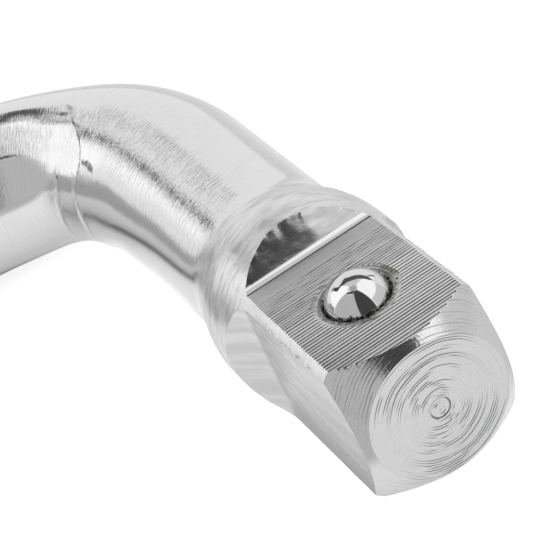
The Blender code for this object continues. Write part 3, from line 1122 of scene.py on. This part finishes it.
# %% Where the bend's marks are
bend = finish["polished_bar"].node_tree.nodes.new("ShaderNodeAttribute")
bend.attribute_name = "bend_marks"
past, degrees, shade_and_soot = Field(bend.outputs["Vector"]).parts()
strokes = flat.scaled((0.7, 5.0, 1), math.radians(12)).noise()
ragged = strokes * 9.0 + degrees
press = ragged.ramp(36.0, 40.0) * ragged.ramp(82.0, 76.0) * (strokes * 3.0 + past).ramp(15.0, 10.0)
press = press * past.ramp(0.0, 0.2)
crumbs = in_mm.noise(scale=3.0, detail=5, roughness=0.72)
# A line of painted shade along the crease, broken into crumbs, and spots of painted shade on the creases with
# soot on the edges.
crease_shade = abs(past + 0.05).ramp(0.24, 0.08) * crumbs.ramp(0.40, 0.50)
crease_shade = crease_shade * (degrees.ramp(30.0, 38.0) * degrees.ramp(76.0, 66.0))
shade_and_soot_spots = (shade_and_soot * (crumbs * 2.6 - 0.4)).ramp(0.30, 0.62)

# %% The bar's relief: strokes of the belt, crinkles and pits of the forging
depth = (degrees.ramp(39.0, 57.0) * degrees.ramp(86.0, 68.0)).ramp(0, 1, 0.0055, 0.0155)
depth = depth * degrees.ramp(80.0, 105.0, 1.0, 0.42) * past.ramp(6.5, 12.0, 1.0, 0.35)
depth = largest(depth * forged.ramp(0, 1, 1.0, 0.5), press * 0.005)
brushed = use_group(scratches, flat, Depth=depth)
crinkle = in_mm.noise(scale=1.3, detail=5, roughness=0.6)
dots = use_group(pits, in_mm, Size=0.28, Amount=forged * 0.42)
add_bump(paint, brushed["Height"] + crinkle * forged * 0.036 + dots["Height"])
put(paint["Roughness"], largest(forged.ramp(0, 1, 0.12, 0.28), press * 0.24))

# %% The bar's colours: smears and a ring on the forged collar, painted shade in the crease and in spots on the creases, soot on the square's edges
RING_FROM_END = 19.6
smear = flat.scaled((0.5, 1.9, 1), math.radians(28)).noise(detail=4, roughness=0.6)
smear = smear.ramp(0.44, 0.66, 0.0, 0.72) * (forged * from_end.ramp(14.5, 17.0))
leaning = wobble * 0.8 + (degrees * -0.038 + from_end)
ring = abs(leaning - RING_FROM_END).ramp(0.22, 0.05) * crinkle.ramp(0.40, 0.60, 0.1, 0.8)
colour = over(PLATE, brushed["Mask"] * 0.6, PLATE_WORN)
colour = over(colour, largest(smear, ring), SMEAR)
put(paint["Base Color"], over(colour, largest(crease_shade, shade_and_soot_spots * 0.85, dots["Pits"]), SOOT_AND_SHADE))

# %% The turned end: rings, with thin arcs painted dark as painted shade in their grooves
paint, flat, in_mm = mapped_metal("turned_end", 0.16)
turned = use_group(rings, flat, Pitch=0.205, Depth=0.011)
add_bump(paint, flat.noise(scale=5.0) * 0.010 + turned["Height"])
faced = over((0.70, 0.70, 0.705), flat.noise(scale=9.0).ramp(0.56, 0.72, 0.0, 0.5), (0.42, 0.42, 0.42))
# Painted shade: the sunk arcs of the rings are painted nearly black.
put(paint["Base Color"], over(faced, turned["Arcs"], (0.10, 0.10, 0.10)))

# %% The milled flat with the ball: rougher towards the wall, and bright on its fillet
paint, flat, in_mm = mapped_metal("milled_flat", 0.17)
add_bump(paint, flat.scaled((0.15, 6.0, 1)).noise() * 0.0012)
put(paint["Base Color"], over(PLATE_WORN, in_mm.noise(scale=0.4), PLATE))
from_end = flat.parts()[1]
worn, fillet = from_end.ramp(8.0, 12.5, 0.17, 0.42), from_end.ramp(15.0, 15.2, 1.0, 0.13)
put(paint["Roughness"], calculate("MINIMUM", worn, fillet))

# %% The grooves that the cutter left: painted nearly black as painted shade in the grooves, and painted lighter towards the wall
paint, flat, in_mm = mapped_metal("cutter_groove", 0.3)
groove_streaks = flat.scaled((0.8, 6.0, 1)).noise(detail=3)
add_bump(paint, groove_streaks * 0.004)
from_end = flat.parts()[1]
# Painted shade: the grooves are painted nearly black near the end, and lighter in streaks towards the wall.
bright = from_end.ramp(6.0, 14.0, 0.35, 1.0) * groove_streaks.ramp(0.2, 0.7)
put(paint["Base Color"], over((0.05, 0.05, 0.05), bright, (0.45, 0.45, 0.45)))

# %% The three smooth flats: faint lines that lean, and slow waves
LINES_LEAN = math.radians(8)
paint, flat, in_mm = mapped_metal("side_flat", 0.22)
lines = flat.scaled((2.2, 0.12, 1), LINES_LEAN).noise(detail=3)
broad = flat.scaled((0.9, 0.07, 1), LINES_LEAN).noise()
add_bump(paint, broad * 0.04 + (lines * 0.014 + in_mm.noise(scale=0.3, detail=3) * 0.09))
put(paint["Base Color"], over((0.55, 0.55, 0.555), broad.ramp(0.35, 0.65), (0.66, 0.66, 0.665)))

# %% The torn wall where the cutter ran out: painted darker than the plating as painted shade, with lighter blotches and flecks
paint, flat, in_mm = mapped_metal("runout_wall", 0.112)
torn = flat.scaled((0.45, 1.3, 1), math.radians(12)).noise(detail=4)
add_bump(paint, torn * 0.012)
# Painted shade: the wall is painted darker than the plating, with lighter blotches and flecks.
bright = largest(torn.ramp(0.30, 0.85), in_mm.noise(scale=2.4).ramp(0.68, 0.72))
put(paint["Base Color"], over((0.36, 0.36, 0.36), bright, (0.60, 0.60, 0.60)))

# %% The staked ring and the bore: painted shade down the bore and over the lip, with lighter specks in it, and a patch of greenish residue on the ring
RESIDUE_PLACE = (-3.35, -8.5, 0)
paint, flat, in_mm = mapped_metal("bore_wall", 0.28)
grain, speckle = in_mm.noise(scale=2.2, detail=3), in_mm.noise(scale=6.0)
on_plan = vector_math("MULTIPLY", in_mm, (1, 1, 0))
from_axes = [vector_math("DISTANCE", on_plan, (x / MM, y / MM, 0)) for x, y, _ in BALL_CENTRES.values()]
off_axis = calculate("MINIMUM", *from_axes)
# Painted shade: the bore and the lip's inner slope, round the gap at the ball, are painted nearly black.
shade_down_the_bore = (grain * 0.30 + off_axis).ramp(2.93, 2.86)
bore_shade = (off_axis - speckle).ramp(2.65, 2.35, 0.0, 0.8)
residue = (speckle * 1.6 + vector_math("DISTANCE", on_plan, RESIDUE_PLACE)).ramp(2.0, 1.5)
specks = in_mm.noise(scale=5.5, detail=1).ramp(0.50, 0.58)
add_bump(paint, (grain + speckle) * 0.014)
colour = over((0.60, 0.60, 0.59), residue, RESIDUE)
colour = over(colour, bore_shade, (0.16, 0.16, 0.15))
colour = over(colour, shade_down_the_bore, (0.035, 0.035, 0.03))
put(paint["Base Color"], over(colour, shade_down_the_bore * specks, (0.36, 0.36, 0.34)))

# %% The balls: lapped steel, painted dark as painted shade where they meet the lip, with lighter specks there
paint, in_mm = own_metal(balls, "lapped_ball")
rub = in_mm.noise(scale=1.3, detail=4)
height = in_mm.parts()[2]
# Painted shade round each ball where it meets the lip, where it is also made rougher.
lip_shade = (height - in_mm.noise(scale=3.2, detail=4, roughness=0.72) * 1.5).ramp(5.60, 5.50)
specks = in_mm.noise(scale=5.5, detail=1).ramp(0.52, 0.60)
put(paint["Roughness"], largest(rub.ramp(0.3, 0.75, 0.05, 0.09), lip_shade * 0.45))
colour = over((0.66, 0.66, 0.67), rub, (0.72, 0.72, 0.73))
colour = over(colour, lip_shade, (0.07, 0.07, 0.065))
put(paint["Base Color"], over(colour, lip_shade * specks, (0.42, 0.42, 0.40)))

# %% The springs: drawn wire
paint, in_mm = own_metal(springs, "drawn_wire")
drawn = in_mm.noise(scale=2.0, detail=4)
put(paint["Roughness"], drawn.ramp(0.2, 0.8, 0.28, 0.42))
put(paint["Base Color"], over((0.34, 0.34, 0.35), drawn, (0.50, 0.50, 0.51)))
print("finishes:", sorted(material.name for material in bpy.data.materials))

# %% [markdown]
# ## The studio
# Polished metal shows little but what stands round it, so the studio matters as much as the metal. The
# photograph was taken on a white sheet with two large softboxes, a grey screen at one side and the dark
# camera side in front. The surroundings are white, and a little dimmer as light than they look.


# %% The white surroundings
def ray_kinds(tree, *kinds):
    """1 for rays of the named kinds, and 0 for others."""
    rays = tree.nodes.new("ShaderNodeLightPath").outputs
    return largest(*(Field(rays[f"Is {kind} Ray"]) for kind in kinds))


WHITE = (1, 1, 1)
world = bpy.data.worlds.new("studio")
bpy.context.scene.world = world
world.use_nodes = True
background = world.node_tree.nodes["Background"].inputs
seen = ray_kinds(world.node_tree, "Camera", "Glossy", "Transmission")
put(background["Color"], WHITE)
put(background["Strength"], seen.ramp(0, 1, 0.45, 1.0, smooth=False))

# %% [markdown]
# ### The floor
# The camera sees the floor as a white sheet, with the object's shadow on it. What the metal mirrors of
# the floor is a painted glow, darker where the object stands over it and shades it, most of all in the
# corner between the arms and beside the square. These painted shades are laid down by place, in millimetres.

# %% Lay the floor
SHEET_GLOW = 0.72
FLOOR_SIZE = 6.0
floor = add_mesh("floor", bpy.ops.mesh.primitive_plane_add, size=FLOOR_SIZE, location=(0, 0, -END_RADIUS))
finish_transforms(floor)
sheet = bpy.data.materials.new("white_sheet")
sheet.use_nodes = True
floor.data.materials.append(sheet)
tree = sheet.node_tree
paint = tree.nodes["Principled BSDF"].inputs
put(paint["Base Color"], (0.9, 0.9, 0.9))
put(paint["Roughness"], 1.0)
put(paint["Specular IOR Level"], 0.0)
put(paint["Emission Color"], WHITE)

# %% Shade it beside the object
on_floor = Field(tree.nodes.new("ShaderNodeTexCoord").outputs["Object"])
x, y, _ = on_floor.scaled((1 / MM, 1 / MM, 1 / MM)).parts()
from_long_arm = largest(abs(y + SHORT_ARM_REACH / MM), -BAR_RADIUS / MM - x)
corner = x.ramp(12, 8) * from_long_arm.ramp(6, 9) * from_long_arm.ramp(28, 20, 0.0, 0.20)
# A painted glow that only reflections see: painted shade near the arms and the square, and a little painted
# light in the corner between the arms.
mirrored_floor_glow = from_long_arm.ramp(2, 6, 0.02, 0.34) + (from_long_arm.ramp(6, 10, 0.0, 0.10) + corner)
beside_arm = x.ramp(10, 7.2) * y.ramp(-30, -20) * x.ramp(3, 6) * y.ramp(-2, -6) * 0.95
at_corner = x.ramp(9, 14) * y.ramp(-8, 0)
shaded = largest(beside_arm, at_corner, y.ramp(-4, 4, 0.0, 0.25), x.ramp(-8, -14, 0.0, 0.6))
mirrored = ray_kinds(tree, "Glossy", "Transmission") * (mirrored_floor_glow * (1.0 - shaded))
put(paint["Emission Strength"], ray_kinds(tree, "Camera") * SHEET_GLOW + mirrored)

# %% [markdown]
# ### The cards and the lamps
# Cards stand for what the metal mirrors, and only reflections see them. Each is a patch of a sphere round
# the object with one level of light and soft edges, and a nearer card hides a farther one. Its columns
# let it lean, widen or curve as the real screens do. A top past 90 degrees comes down on the far side,
# which closes the sky over the object. Three area lamps do the lighting, and no reflection sees those.

# %% The cards that only reflections see
CARD_CENTRE = Vector((0.0, -0.02, 0.0))


def way_to(azimuth, elevation):
    """The way from the object towards an azimuth and an elevation in degrees."""
    turn, lift = math.radians(azimuth), math.radians(elevation)
    return Vector((math.cos(turn) * math.cos(lift), math.sin(turn) * math.cos(lift), math.sin(lift)))


def card_glow(name, surface_map, level, soft, soft_ends):
    """The glow of a card, which fades out over its soft edges. Softness is a share of the card."""
    glow = bpy.data.materials.new(name)
    glow.use_nodes = True
    nodes = glow.node_tree.nodes
    nodes.clear()
    light, clear = nodes.new("ShaderNodeEmission"), nodes.new("ShaderNodeBsdfTransparent")
    put(light.inputs["Color"], WHITE)
    put(light.inputs["Strength"], level)
    uv = nodes.new("ShaderNodeUVMap")
    uv.uv_map = surface_map
    across, up, _ = Field(uv.outputs["UV"]).parts()
    blend, out = nodes.new("ShaderNodeMixShader"), nodes.new("ShaderNodeOutputMaterial")
    put(blend.inputs[0], abs(across - 0.5).ramp(0.5, 0.5 - soft) * abs(up - 0.5).ramp(0.5, 0.5 - soft_ends))
    link = glow.node_tree.links.new
    link(clear.outputs[0], blend.inputs[1])
    link(light.outputs[0], blend.inputs[2])
    link(blend.outputs[0], out.inputs["Surface"])
    return glow


def card(name, columns, level, far, soft, soft_ends=None):
    """A card on a sphere. Each column is its foot and its top, as azimuths and elevations in degrees."""
    grid = {"x_subdivisions": 8 * (len(columns) - 1), "y_subdivisions": 16, "size": 2}
    made = add_mesh(name, bpy.ops.mesh.primitive_grid_add, **grid)
    stations = np.linspace(0, 1, len(columns))
    for point in made.data.vertices:
        u, v = (point.co.x + 1) / 2, (point.co.y + 1) / 2
        turn, lift, top_turn, top_lift = (np.interp(u, stations, corners) for corners in zip(*columns))
        point.co = CARD_CENTRE + far * way_to(turn + (top_turn - turn) * v, lift + (top_lift - lift) * v)
    surface_map = made.data.uv_layers[0].name
    made.data.materials.append(card_glow(name, surface_map, level, soft, soft_ends or soft))
    for kind in ("camera", "diffuse", "shadow", "transmission", "volume_scatter"):
        setattr(made, f"visible_{kind}", False)


# Name, columns of (azimuth, elevation, azimuth, elevation), level, distance, softness of its edges.
CARDS = [
    ("left_box_face", [(-62, 15, -76, 77), (-21, 13, -11, 71)], 1.36, 0.70, 0.03),
    ("right_box_face", [
        (205, 34, 208, 72), (180, 27, 180, 79), (150, 26, 145, 80), (116, 27, 112, 80),
    ], 1.30, 0.70, 0.05),
    ("small_box_face", [(-168, 20, -166, 31), (-153, 24, -154, 34)], 1.45, 0.66, 0.10),
    ("grey_screen", [(-23, -12, -14, 66), (69, -12, 60, 72)], 0.61, 0.80, 0.02),
    ("grey_screen_foot", [(-52, -12, -52, 4), (-40, -12, -40, 11), (-22, -12, -22, 14)], 0.38, 0.82, 0.06),
    ("dark_front", [(64, -12, 57, 82), (117.5, -12, 117.5, 80)], 0.07, 0.68, 0.025),
    ("dark_overhead", [
        (-14, 63, -14, 68), (0, 67, 0, 76), (30, 71, 30, 83), (64, 71, 64, 84),
    ], 0.10, 0.66, 0.14),
    ("dark_back", [
        (-172, 24, -172, 34), (-160, 29, -162, 43), (-148, 32, -150, 51), (-125, 38, -125, 60),
        (-107, 40.5, -107, 61), (-98, 35.5, -98, 60), (-92, 38, -92, 59), (-86, 41, -85, 58),
        (-78, 43, -76, 57), (-70, 43, -69, 51), (-62, 40, -60, 47), (-53, 40, -51, 45),
    ], 0.11, 0.62, 0.05),
    ("dark_back_neck", [(-69, 25, -69, 43), (-61, 27, -50, 43)], 0.05, 0.63, 0.10),
    ("dark_back_foot", [(-75, 14, -72, 31), (-64, 16, -60, 31)], 0.40, 0.64, 0.20),
    ("dark_back_right", [(-155, 8, -155, 31), (-149, 8, -147, 33)], 0.22, 0.64, 0.20),
    ("grey_ceiling", [(-182, 54, -182, 90), (-58, 54, -58, 90)], 0.80, 0.86, 0.05),
    ("grey_zenith", [(-180, 76, -180, 104), (180, 76, 180, 104)], 0.50, 0.85, 0.0001, 0.25),
    ("grey_right", [(120, -4, 120, 26), (182, -4, 182, 26)], 0.76, 0.88, 0.05),
]
for settings in CARDS:
    card(*settings)

# %% The softboxes
SOFTBOX_DISTANCE = 0.70


def softbox(name, azimuth, elevation, width, height, radiance):
    """A rectangular area lamp that looks at the object. Radiance is how bright its face is."""
    lamp = bpy.data.lights.new(name, "AREA")
    lamp.shape = "RECTANGLE"
    lamp.size, lamp.size_y = width, height
    lamp.energy = radiance * math.pi * width * height
    made = bpy.data.objects.new(name, lamp)
    bpy.context.scene.collection.objects.link(made)
    way = way_to(azimuth, elevation)
    made.location = CARD_CENTRE + way * SOFTBOX_DISTANCE
    made.rotation_euler = (-way).to_track_quat("-Z", "Y").to_euler()
    made.visible_camera = False
    made.visible_glossy = False


softbox("left_softbox", -41, 45, 0.34, 0.70, 1.15)
softbox("right_softbox", 153, 54, 0.44, 0.54, 1.2)
softbox("small_lamp", -160, 27, 0.12, 0.10, 3.0)
print("studio:", len(CARDS), "cards and 3 lamps")
